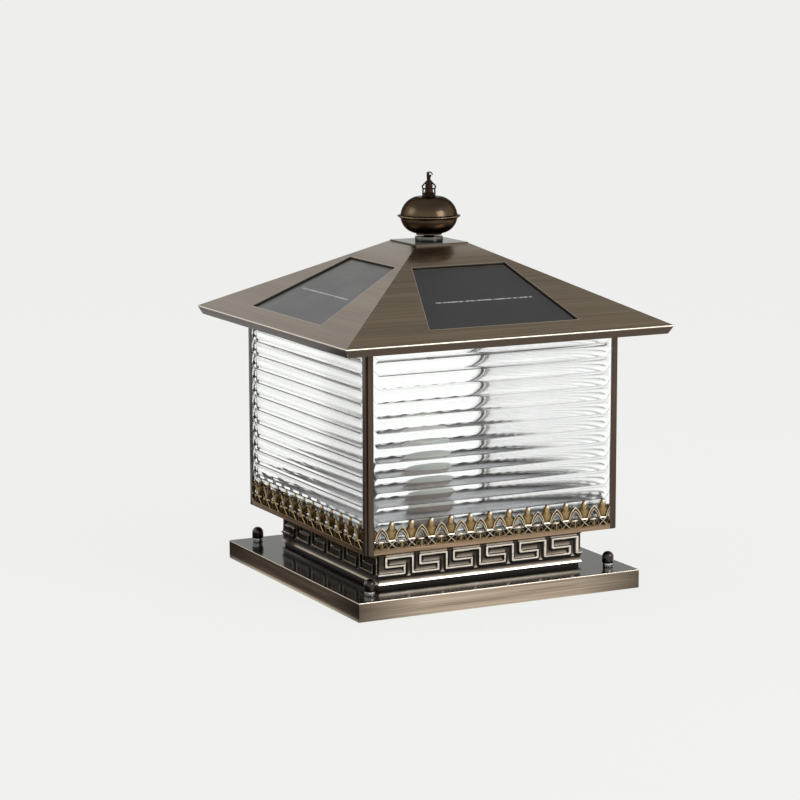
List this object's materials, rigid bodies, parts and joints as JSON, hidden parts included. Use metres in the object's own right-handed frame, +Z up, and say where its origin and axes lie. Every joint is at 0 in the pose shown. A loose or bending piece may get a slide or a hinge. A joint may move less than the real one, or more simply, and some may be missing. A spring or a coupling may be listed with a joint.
{
  "type": "outdoor post light",
  "caption": "Square solar pillar light with a hipped roof, fluted clear panes, pierced palmette frieze, key-fret plinth and a flat base plate bolted to a pillar top.",
  "frame": {"origin": "centre of the base plate's underside", "axes": "+Z up along the finial's axis, -Y the front face, +X the right face"},
  "size_m": [0.344, 0.344, 0.396],
  "materials": {
    "roof_bronze": "brushed antique bronze plating on steel sheet",
    "frame_bronze": "satin antique bronze plating on steel sheet",
    "base_bronze": "brushed sides, dark glossy top",
    "finial_bronze": "spun and satin plated dark bronze",
    "dark_bronze": "cast, dark bronze plating",
    "frieze_brass": "cast, antique brass plating with rubbed highlights",
    "bright_steel": "polished",
    "plain_steel": "zinc plated",
    "pane_glass": "clear, fluted outside",
    "solar_cell": "dark laminated cell, satin",
    "seal_rubber": "matt black",
    "lamp_metal": "satin paint",
    "board_white": "white board",
    "led_yellow": "phosphor",
    "opal_plastic": "opal, satin",
    "reflector_white": "white paint",
    "gusset_aluminium": "mill finish",
    "box_plastic": "moulded black",
    "board_green": "solder mask",
    "cell_wrap": "shrink wrap",
    "lens_red": "dark red, glossy",
    "button_black": "moulded"
  },
  "bodies": {
    "lantern": {"base_plate": "base_bronze", "anchor_collars": "bright_steel", "anchor_cap_nuts": "dark_bronze", "plinth_core": "frame_bronze", "fret_panel_front": "frame_bronze", "fret_panel_right": "frame_bronze", "fret_panel_back": "frame_bronze", "fret_panel_left": "frame_bronze", "plinth_screws": "plain_steel", "floor_tray": "frame_bronze", "floor_screws": "plain_steel", "corner_post_front_left": "frame_bronze", "corner_post_front_right": "frame_bronze", "corner_post_back_right": "frame_bronze", "corner_post_back_left": "frame_bronze", "pane_front": "pane_glass", "pane_right": "pane_glass", "pane_back": "pane_glass", "pane_left": "pane_glass", "frieze_front": "frieze_brass", "frieze_right": "frieze_brass", "frieze_back": "frieze_brass", "frieze_left": "frieze_brass", "pane_pads": "seal_rubber", "pane_clips": "plain_steel", "top_frame": "frame_bronze", "roof_gasket": "seal_rubber", "spider_bar": "plain_steel", "center_rod": "plain_steel", "rod_nuts": "plain_steel", "lamp_can": "lamp_metal", "led_board": "board_white", "led_chips": "led_yellow", "lamp_diffuser": "opal_plastic"},
    "roof": {"roof_sheet_front": "roof_bronze", "roof_sheet_right": "roof_bronze", "roof_sheet_back": "roof_bronze", "roof_sheet_left": "roof_bronze", "roof_cap": "roof_bronze", "solar_panel_front": "solar_cell", "solar_panel_right": "solar_cell", "solar_panel_back": "solar_cell", "solar_panel_left": "solar_cell", "panel_seals": "seal_rubber", "soffit_plate": "roof_bronze", "reflector_plate": "reflector_white", "soffit_screws": "plain_steel", "roof_gussets": "gusset_aluminium", "control_box": "box_plastic", "control_lid": "box_plastic", "circuit_board": "board_green", "battery_case": "box_plastic", "battery_cells": "cell_wrap", "receiver_lens": "lens_red", "finial_collar": "bright_steel"},
    "finial": {"finial_lower_bowl": "finial_bronze", "finial_upper_bowl": "finial_bronze", "finial_crown": "dark_bronze"},
    "button": {"power_button": "button_black"}
  },
  "joints": [
    {"name": "roof_lift", "type": "slide", "parent": "lantern", "child": "roof", "axis": [0, 0, 1], "range_m": [0, 0.125]},
    {"name": "finial_turn", "type": "hinge", "parent": "roof", "child": "finial", "pos_m": [0, 0, 0.353], "axis": [0, 0, 1], "continuous": true},
    {"name": "button_press", "type": "slide", "parent": "roof", "child": "button", "axis": [0, 0, 1], "range_m": [0, 0.0015], "stiffness_N_per_m": 200, "springref_m": -0.002}
  ]
}
